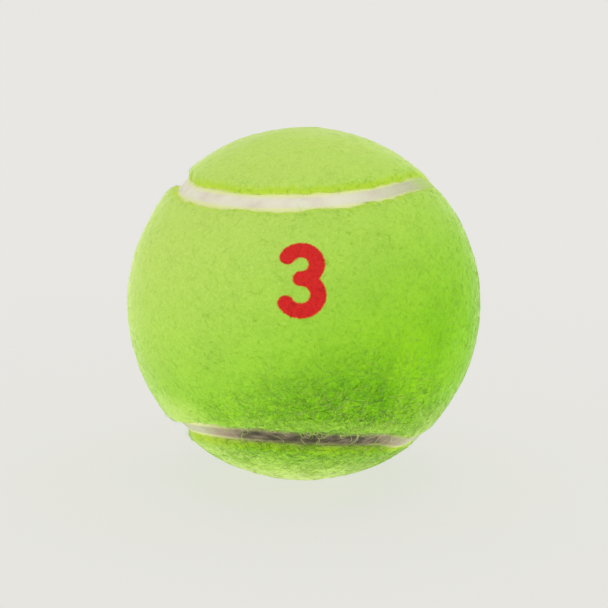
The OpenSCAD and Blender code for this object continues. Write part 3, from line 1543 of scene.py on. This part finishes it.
@dataclass
class FibreMaker:
    """Stands fibres on a panel's outer face with a Geometry Nodes tree. A pair of amounts is what smooth or
    clean felt has, and what ruffled felt, or felt by the soiled seam where shade is painted, has on top. A
    tone is a place on the fibres' map.
    """

    kind: FibreKind
    sizes: FibreSizes
    ball_r: float = 33.0 * MM
    sink: float = 0.03 * MM
    flatness: float = 0.45
    taper: float = 0.45
    end_share: float = 0.4
    matted: float = 0.75
    combed: float = 0.45
    waves: float = 7.5
    near_seam: Span = (2.4 * MM, 0.5 * MM)
    gather_power: float = 3.0
    gather_plain: float = 0.3
    gather_soiled_and_shaded: float = 2.4
    lift_amounts: Span = (0.4, 1.55)
    width_amounts: Span = (1.0, 0.9)
    seed_step: int = 20
    map_width: float = 0.004
    tone_amounts: Span = (0.4, 1.2)
    # Painted light: the pale tone that fibres are pulled to, and how far
    painted_light_tone: float = 0.6
    painted_light_share: float = 0.8
    # Painted shade: how far the fibres darken in that patch
    painted_shade_drop: float = 0.08
    # Painted shade: the saturated tone of fibres on the rolled lip
    lip_tone: float = 0.22
    lip_amounts: Span = (0.6, -0.25)
    lip_reach: float = 2.6 * MM
    lip_from: float = 0.4
    lip_top: float = 0.6
    # Painted glow: the pale tone of fibres at the felt's edge, less where the seam is shaded
    rim_tone: float = 0.78
    rim_amounts: Span = (0.85, -0.3)
    rim_reach: float = 1.0 * MM
    palest: float = 0.8
    ink_tones: Span = (0.86, 0.97)
    ink_spread: float = 0.16 * MM

    def strand(self) -> bpy.types.Object:
        """Makes the straight closed strand that each fibre is bent from: three-sided, pointed at its ends.

        Returns:
            The strand, of length 1 along X and half width 1, outside the scene.
        """
        rings = self.sizes.rings
        points, map_spots = [(0.0, 0.0, 0.0)], [(0.0, 0.0)]
        for ring in range(rings):
            along = (ring + 1 - self.end_share) / (rings + self.end_share)
            thick = 1.0 - self.taper * along
            for side in range(3):
                turn = TURN * side / 3
                points.append((along, thick * math.cos(turn), thick * math.sin(turn) * self.flatness))
                map_spots.append((self.map_width * side / 2, along))
        points.append((1.0, 0.0, 0.0))
        map_spots.append((self.map_width / 2, 1.0))
        last = len(points) - 1
        faces = []
        for side in range(3):
            beside = (side + 1) % 3
            faces.append((0, 1 + beside, 1 + side))
            for ring in range(rings - 1):
                here, ahead = 1 + 3 * ring, 4 + 3 * ring
                faces.append((here + side, here + beside, ahead + beside))
                faces.append((here + side, ahead + beside, ahead + side))
            end = 1 + 3 * (rings - 1)
            faces.append((end + side, end + beside, last))
        mesh = plain_mesh("strand", np.array(points), np.array(faces))
        turn_outward(mesh)
        layer = mesh.uv_layers.new(name=BAKE_MAP)
        for loop in mesh.loops:
            layer.data[loop.index].uv = map_spots[loop.vertex_index]
        return bpy.data.objects.new("strand", mesh)

    def amounts(self, area: float) -> dict[str, float]:
        """The sizes that the tree is given.

        Args:
            area: the felt's area, in square metres.

        Returns:
            A number for each of the tree's inputs that takes one.
        """
        sizes = self.sizes
        given = {
            "Density": sizes.count / sizes.pieces / area,
            "Matted": self.matted,
            "Gathered": sizes.gathered,
            "Level": sizes.level,
            "Follow Ball": sizes.follow_ball,
            "Half Width": sizes.width / 2,
            "Wobble": sizes.wobble,
            "Ball Radius": self.ball_r,
            "Sink": self.sink,
        }
        spans = {"Length": sizes.length, "Bend": sizes.bend, "Arch": sizes.arch, "Tip": sizes.tip}
        for name, (least, most) in spans.items():
            given[f"Least {name}"] = least
            given[f"Most {name}"] = most
        return given

    def tree(self, amounts: Iterable[str]) -> tuple[bpy.types.NodeTree, dict[str, str]]:
        """Builds the tree that scatters strands over a face and bends each one in its own way.

        Args:
            amounts: the names of the inputs that take a number.

        Returns:
            The tree, and the identifier of each of its inputs by name.
        """
        group = bpy.data.node_groups.new(f"felt_{self.kind.value}", "GeometryNodeTree")
        names = {}
        for name in (*SOCKETS, *amounts):
            kind = SOCKETS.get(name, "NodeSocketFloat")
            names[name] = group.interface.new_socket(name, in_out="INPUT", socket_type=kind).identifier
        group.interface.new_socket("Fibres", in_out="OUTPUT", socket_type="NodeSocketGeometry")
        tree = Tree(group)
        given = tree.node("NodeGroupInput")
        vector = "FLOAT_VECTOR"

        def want(name: str) -> Wire:
            """One of the tree's inputs."""
            return tree.out(given, name)

        def random(kind: str, low: Value, high: Value, seed: int) -> Wire:
            """A random value for each fibre."""
            picked = {"Min": low, "Max": high, "Seed": want("Seed") + seed}
            return tree.wire("FunctionNodeRandomValue", {"data_type": kind}, picked, "Value")

        def change(kind: str, shape: Wire, settings: dict | None = None, **inputs: Wire | str) -> Wire:
            """Passes a shape through a node."""
            return tree.wire(kind, settings, {"Geometry": shape, **inputs}, "Geometry")

        def store(shape: Wire, name: str, value: Wire, kind: str = "FLOAT") -> Wire:
            """Keeps a value under a name on every point."""
            settings = {"data_type": kind, "domain": "POINT"}
            return change("GeometryNodeStoreNamedAttribute", shape, settings, Name=name, Value=value)

        def recall(name: str, kind: str = "FLOAT") -> Wire:
            """A value kept under a name."""
            settings = {"data_type": kind}
            return tree.wire("GeometryNodeInputNamedAttribute", settings, {"Name": name}, "Attribute")

        position, ruffled = tree.wire("GeometryNodeInputPosition"), recall("ruffled")
        # Where light is painted on the felt, its nap is also matted flatter and thinner
        unmatted = 1 - recall("fade") * want("Matted")
        near = tree.smooth(recall("seam_away"), *self.near_seam)
        # More strays gather by the seam where it is soiled and shade is painted
        gathering = self.gather_plain + self.gather_soiled_and_shaded * near * recall("soil")
        gathering = tree.calc("POWER", ruffled, self.gather_power) * gathering
        loose = unmatted * (1 - want("Gathered") * (1 - gathering))
        scatter = tree.node(
            "GeometryNodeDistributePointsOnFaces",
            {"distribute_method": "RANDOM"},
            {"Mesh": want("Face"), "Density": want("Density") * loose, "Seed": want("Seed")},
        )
        straight_out = tree.calc("NORMALIZE", position) * want("Follow Ball")
        outward = tree.out(scatter, "Normal") * (1 - want("Follow Ball")) + straight_out
        combed = self.combed + want("Level") * ruffled
        level = tree.wire("ShaderNodeCombineXYZ", None, {0: 1.0, 1: 1.0, 2: combed})
        roots = store(tree.out(scatter, "Points"), "root", position, vector)
        roots = store(roots, "up", tree.calc("NORMALIZE", outward), vector)
        heading = random(vector, (-1, -1, -1), (1, 1, 1), 1) * level
        roots = store(roots, "heading", heading, vector)
        for draw, name in ((2, "Length"), (3, "Bend"), (5, "Arch"), (6, "Tip")):
            drawn = random("FLOAT", want(f"Least {name}"), want(f"Most {name}"), draw)
            if name == "Bend":
                drawn = drawn * tree.calc("SIGN", random("FLOAT", -1.0, 1.0, 4))
            roots = store(roots, name.lower(), drawn)
        roots = store(roots, "phase", random("FLOAT", 0.0, TURN, 7))
        roots = store(roots, "chance", random("FLOAT", 0.0, 1.0, 8))
        settings, strand = {"transform_space": "ORIGINAL"}, {"Object": want("Strand")}
        shape = tree.wire("GeometryNodeObjectInfo", settings, strand, "Geometry")
        shape = store(shape, "spot", position, vector)
        scattered = {"Points": roots, "Instance": shape}
        fibres = tree.wire("GeometryNodeInstanceOnPoints", None, scattered, "Instances")
        fibres = change("GeometryNodeRealizeInstances", fibres)

        up = recall("up", vector)
        ahead = tree.calc("NORMALIZE", tree.calc("CROSS_PRODUCT", up, recall("heading", vector)))
        beside = tree.calc("CROSS_PRODUCT", up, ahead)
        spot = tree.node("ShaderNodeSeparateXYZ", None, {0: recall("spot", vector)})
        along, length = tree.out(spot, "X"), recall("length")
        turned = along * recall("bend")
        sine, cosine = tree.calc("SINE", turned), tree.calc("COSINE", turned)
        radius = length / recall("bend")
        wave = tree.calc("SINE", along * self.waves + recall("phase")) * length * want("Wobble")
        forward = radius * sine
        sideways = radius * (1 - cosine) + wave
        drop = (forward * forward + sideways * sideways) / (want("Ball Radius") * 2)
        lift = 4 * recall("arch") * along * (1 - along) + recall("tip") * along * along
        lift = lift * unmatted * rising(self.lift_amounts, ruffled)
        half_width = want("Half Width") * rising(self.width_amounts, ruffled)
        across, over = tree.out(spot, "Y") * half_width, tree.out(spot, "Z") * half_width
        place = recall("root", vector)
        place = place + ahead * (forward - across * sine)
        place = place + beside * (sideways + across * cosine)
        place = place + up * (lift + over - drop - want("Sink"))
        fibres = change("GeometryNodeSetPosition", fibres, Position=place)
        fibres = change("GeometryNodeSetShadeSmooth", fibres)
        fibres = change("GeometryNodeSetMaterial", fibres, Material=want("Material"))
        tree.node("NodeGroupOutput", None, {"Fibres": fibres})
        return group, names

    def paint(self, mesh: bpy.types.Mesh, mark: Numeral) -> None:
        """Gives each fibre its tone on the map, with the felt's painted light and painted shade, a painted
        glow at the felt's edge, and in the figure the ink's.

        Args:
            mesh: the fibres.
            mark: the printed figure.
        """
        count = len(mesh.vertices)
        notes = ("chance", "seam_away", "fade", "soil", "ruffled", "painted_shade")
        chance, near, fade, soil, ruffled, painted_shade = (np.zeros(count, np.float32) for _ in notes)
        for name, values in zip(notes, (chance, near, fade, soil, ruffled, painted_shade)):
            mesh.attributes[name].data.foreach_get("value", values)
        low, high = self.sizes.tones
        tone = (low + high) / 2 + (high - low) * (chance - 0.5) * rising(self.tone_amounts, ruffled)
        # Painted light pales the fibres, and painted shade darkens them in one patch
        tone += (self.painted_light_tone - tone) * self.painted_light_share * fade - self.painted_shade_drop * painted_shade
        rim = 1 - step(near, 0.0, self.rim_reach)
        top = self.lip_top * self.lip_reach
        lip = step(near, self.lip_from * self.lip_reach, top) - step(near, top, self.lip_reach)
        # Painted shade: fibres on the rolled lip take the lip band's saturated tone
        tone += (self.lip_tone - tone) * rising(self.lip_amounts, soil) * lip
        # Painted glow: fibres at the felt's edge pale, less where the seam is shaded
        tone += (self.rim_tone - tone) * rising(self.rim_amounts, soil) * rim
        tone = np.clip(tone, 0, self.palest)
        corners = corner_points(mesh)
        places = np.zeros(3 * count, np.float32)
        mesh.vertices.foreach_get("co", places)
        middles = unit(places.reshape(-1, 3)[corners].reshape(-1, 3, 3).mean(1))
        inked = np.repeat(mark.away(middles) < self.ink_spread * (chance[corners[::3]] - 0.5), 3)
        ink_low, ink_high = self.ink_tones
        tone = np.where(inked, ink_low + (ink_high - ink_low) * chance[corners], tone[corners])
        layer = mesh.uv_layers[BAKE_MAP]
        spots = np.zeros(2 * len(corners), np.float32)
        layer.data.foreach_get("uv", spots)
        spots[::2] += tone
        layer.data.foreach_set("uv", spots)
        for name in [a.name for a in mesh.attributes if a.name in FIBRE_NOTES]:
            mesh.attributes.remove(mesh.attributes[name])

    def build(
        self, side: Side, face: bpy.types.Mesh, mark: Numeral, material: bpy.types.Material, seed: int
    ) -> list[bpy.types.Object]:
        """Stands this kind of fibre on one panel, in a few pieces.

        Args:
            side: the panel.
            face: its outer face.
            mark: the printed figure.
            material: what the fibres are dressed in.
            seed: picks their places and bends.

        Returns:
            The pieces.
        """
        amounts = self.amounts(sum(p.area for p in face.polygons))
        group, names = self.tree(amounts)
        strand = self.strand()
        made = []
        for number in range(self.sizes.pieces):
            carrier = put("carrier", face)
            modifier = carrier.modifiers.new("fibres", "NODES")
            modifier.node_group = group
            fixed = {"Strand": strand, "Material": material, "Seed": seed + self.seed_step * number}
            for name, value in {**fixed, **amounts}.items():
                modifier[names[name]] = value
            graph = bpy.context.evaluated_depsgraph_get()
            mesh = bpy.data.meshes.new_from_object(
                carrier.evaluated_get(graph), preserve_all_data_layers=True, depsgraph=graph
            )
            bpy.data.objects.remove(carrier)
            self.paint(mesh, mark)
            made.append(show(f"{side.value}_{self.kind.value}_{number + 1}", mesh, material))
        bpy.data.objects.remove(strand)
        return made


@dataclass
class Studio:
    """The floor, the lights, the backdrop and the camera. A wall of the tent, or a side of the floor, is a
    direction as the camera sees it, to the right, up and near, and how strong the light from there is. A
    range is where a change begins and where it is complete.
    """

    ball_r: float = 33 * MM
    backdrop: Colour = srgb(232, 231, 227)
    lens: float = 72.8
    distance: float = 231 * MM
    azimuth: float = 15.2
    elevation: float = 7.2
    roll: float = 0.48
    pixels: int = 608
    centre: Span = (303.7, 303.5)
    nearest_seen: float = 0.01
    tent: float = 0.56
    tent_range: Span = (0.2, 0.95)
    walls: tuple[tuple[Spot, float], ...] = (
        ((0, 1, 0), 0.43),
        ((0, 0.8, 1), 0.4),
        ((0.9, 0.5, 1), 0.16),
        ((0, 0.3, -1), 0.42),
    )
    floor_colour: Colour = srgb(230, 229, 226)
    floor_radius: float = 1.6
    floor_corners: int = 96
    floor_share: float = 0.8
    floor_plain: Span = (0.08, 0.5)
    floor_fade: Span = (0.5, 1.5)
    floor_bounce: float = 0.95
    floor_even: float = 1.4
    floor_range: Span = (-0.02, 0.08)
    floor_sides: tuple[tuple[Spot, float], ...] = (
        ((0, 0, -1), 0.2),
        ((-1, 0, 0), 0.3),
        ((1, 0, 0), 0.12),
    )
    rim_place: Spot = (0.72, 0.42, 0.1)
    rim_size: float = 0.6
    rim_power: float = 1.0
    rim_colour: Colour = (1.0, 1.0, 0.97)

    def towards(self, right: float, up: float, near: float) -> Vector:
        """The direction from the ball that lies so far right, up and near as the camera sees it."""
        back, side = (Vector(way) for way in aim(self.azimuth, self.elevation))
        return (side * right + back.cross(side) * up + back * near).normalized()

    def camera(self) -> None:
        """Places the camera at the photograph's angle, with the ball's centre where it is there."""
        back = self.towards(0, 0, 1)
        data = bpy.data.cameras.new("camera")
        data.lens = self.lens
        data.shift_x = (self.pixels / 2 - self.centre[0]) / self.pixels
        data.shift_y = (self.centre[1] - self.pixels / 2) / self.pixels
        data.clip_start = self.nearest_seen
        made = put("camera", data)
        facing = (-back).to_track_quat("-Z", "Y").to_matrix().to_4x4()
        spin = Matrix.Rotation(math.radians(self.roll), 4, "Z")
        made.matrix_world = Matrix.Translation(back * self.distance) @ facing @ spin
        bpy.context.scene.camera = made

    def lamp(self) -> None:
        """Hangs a square soft lamp that faces the ball and lights its rim."""
        data = bpy.data.lights.new("rim", "AREA")
        data.shape = "SQUARE"
        data.size = self.rim_size
        data.energy = self.rim_power
        data.color = self.rim_colour
        made = put("rim", data)
        made.location = self.rim_place
        made.rotation_mode = "QUATERNION"
        made.rotation_quaternion = (-Vector(self.rim_place)).to_track_quat("-Z", "Y")

    def glow(
        self, tree: Tree, place: Wire, least: float, sides: Iterable[tuple[Spot, float]], reach: Span
    ) -> Value:
        """Adds up the light from several sides.

        Args:
            tree: the tree that needs it.
            place: the place or the direction that is lit.
            least: the light that there is everywhere.
            sides: the sides, each with the strength of its light.
            reach: how far towards a side its light begins and is complete.

        Returns:
            How strong the light is.
        """
        strength: Value = least
        for facing, power in sides:
            beyond = tree.calc("DOT_PRODUCT", place, self.towards(*facing))
            strength = tree.smooth(beyond, *reach) * power + strength
        return strength

    def world(self) -> None:
        """Makes the surroundings: pale to the camera, and for the ball a tent of soft glowing walls."""
        made = bpy.data.worlds.new("surroundings")
        made.use_nodes = True
        tree = Tree(made.node_tree)
        path = tree.node("ShaderNodeLightPath")
        seen = tree.calc("MAXIMUM", tree.out(path, "Is Camera Ray"), tree.out(path, "Is Glossy Ray"))
        seen = tree.calc("MAXIMUM", seen, tree.out(path, "Is Transmission Ray"))
        shown = tree.wire("ShaderNodeBackground", None, {"Color": self.backdrop, "Strength": 1.0})
        heading = tree.wire("ShaderNodeTexCoord", None, None, "Generated")
        strength = self.glow(tree, heading, self.tent, self.walls, self.tent_range)
        light = tree.wire("ShaderNodeBackground", None, {"Color": self.backdrop, "Strength": strength})
        both = tree.wire("ShaderNodeMixShader", None, {0: seen, 1: light, 2: shown})
        tree.node("ShaderNodeOutputWorld", None, {"Surface": both})
        bpy.context.scene.world = made

    def floor(self) -> None:
        """Lays the pale floor, which fades into the backdrop far from the ball."""
        mesh = bpy.data.meshes.new("floor")
        work = bmesh.new()
        bmesh.ops.create_circle(work, cap_ends=True, segments=self.floor_corners, radius=self.floor_radius)
        work.to_mesh(mesh)
        work.free()
        mesh.transform(Matrix.Translation((0, 0, -self.ball_r)))
        material = bpy.data.materials.new("floor")
        material.use_nodes = True
        tree = Tree(material.node_tree)
        place = tree.place()
        away = tree.calc("LENGTH", place)
        diffuse = tree.wire("ShaderNodeBsdfDiffuse", None, {"Color": self.floor_colour})
        direct = tree.wire("ShaderNodeLightPath", None, None, "Is Camera Ray")
        bounce = self.glow(tree, place, self.floor_even, self.floor_sides, self.floor_range)
        strength = bounce - (bounce - 1) * direct
        glow = tree.wire("ShaderNodeEmission", None, {"Color": self.backdrop, "Strength": strength})
        clear = tree.wire("ShaderNodeBsdfTransparent")
        plain = tree.smooth(away, *self.floor_plain) * (1 - self.floor_share) + self.floor_share
        seen = direct * (plain - self.floor_bounce) + self.floor_bounce
        ground = tree.wire("ShaderNodeMixShader", None, {0: seen, 1: diffuse, 2: glow})
        far = tree.smooth(away, *self.floor_fade)
        ground = tree.wire("ShaderNodeMixShader", None, {0: far, 1: ground, 2: clear})
        tree.node("ShaderNodeOutputMaterial", None, {"Surface": ground})
        mesh.materials.append(material)
        put("floor", mesh)

    def build(self) -> None:
        """Sets up the whole studio."""
        self.camera()
        self.world()
        self.floor()
        self.lamp()
        bpy.context.scene.view_settings.view_transform = "Standard"


@dataclass
class Ball:
    """The whole ball: what is dressed, what is built, and what each piece stands for."""

    line: SeamLine = SeamLine()
    mark: Numeral = Numeral()
    wear: Wear = Wear()
    felt: FeltFinish = FeltFinish("felt", roughness=0.85)
    fibre: FibreFinish = FibreFinish("felt_fibre", roughness=0.6)
    seam: SeamFinish = SeamFinish("seam_rubber", roughness=0.62)
    cloth: ClothFinish = ClothFinish("backing_cloth", roughness=0.9)
    panel_flat: Span = (46.4 * MM, 157 * MM)
    panel_area: float = 0.0063
    cloth_flat: Span = (44.3 * MM, 150 * MM)
    cloth_area: float = 0.00575
    panel_seed: int = 100
    fibre_seed: int = 1000

    def dress_core(self, nodes: dict[str, bpy.types.Object]) -> None:
        """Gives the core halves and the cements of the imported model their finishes.

        Args:
            nodes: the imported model's pieces.
        """
        core = RubberFinish("core_rubber", roughness=0.75)
        joint = RubberFinish(
            "joint_cement", roughness=0.6, dark=srgb(58, 50, 42), light=srgb(86, 76, 62)
        )
        cover = RubberFinish(
            "cover_cement", roughness=0.45, dark=srgb(150, 128, 82), light=srgb(186, 164, 112)
        )
        finishes = {
            "core_half_upper": core,
            "core_half_lower": core,
            "core_joint_cement": joint,
            "cover_cement": cover,
        }
        made: dict[str, bpy.types.Material] = {}
        for name, finish in finishes.items():
            made.setdefault(finish.name, finish.material())
            for slot in nodes[name].material_slots:
                slot.material = made[finish.name]
            log.info("%s: dressed", name)

    def build(self, nodes: dict[str, bpy.types.Object]) -> None:
        """Builds and dresses everything.

        Args:
            nodes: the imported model's pieces.
        """
        self.dress_core(nodes)
        felt, fibre, cloth = self.felt.material(), self.fibre.material(), self.cloth.material()
        margin = FeltPanel.gap_half / FeltPanel.ball_r
        fine = Patch.cut(self.line, FeltPanel.fineness, margin)
        coarse = Patch.cut(self.line, FeltPanel.inner_fineness, margin)
        strip = show("seam_strip", SeamStrip(self.line).build(self.wear), self.seam.material())
        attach(strip, BODY)
        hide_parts("seam_rubber")
        for number, side in enumerate(Side):
            backing = show(f"{side.value}_backing", BackingCloth(side, self.line).build(coarse), cloth)
            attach(backing, BODY)
            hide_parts(f"{side.value}_backing_cloth")
            shaper = FeltPanel(side, self.line, self.panel_seed * (number + 1))
            mesh, face = shaper.build(fine, coarse, self.mark, self.wear)
            panel = show(f"{side.value}_felt", mesh, felt)
            fibres = []
            for kind, sizes in FIBRES.items():
                maker = FibreMaker(kind, sizes)
                fibres += maker.build(side, face, self.mark, fibre, self.fibre_seed * (number + 1))
            for piece in [panel, *fibres]:
                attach(piece, BODY)
            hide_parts(f"{side.value}_felt_panel")


def main() -> None:
    """Loads the frame, and builds the ball and the studio."""
    logging.basicConfig(level=logging.INFO, format="%(message)s")
    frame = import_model()
    Ball().build(frame["nodes"])
    Studio().build()


if __name__ == "__main__":
    main()
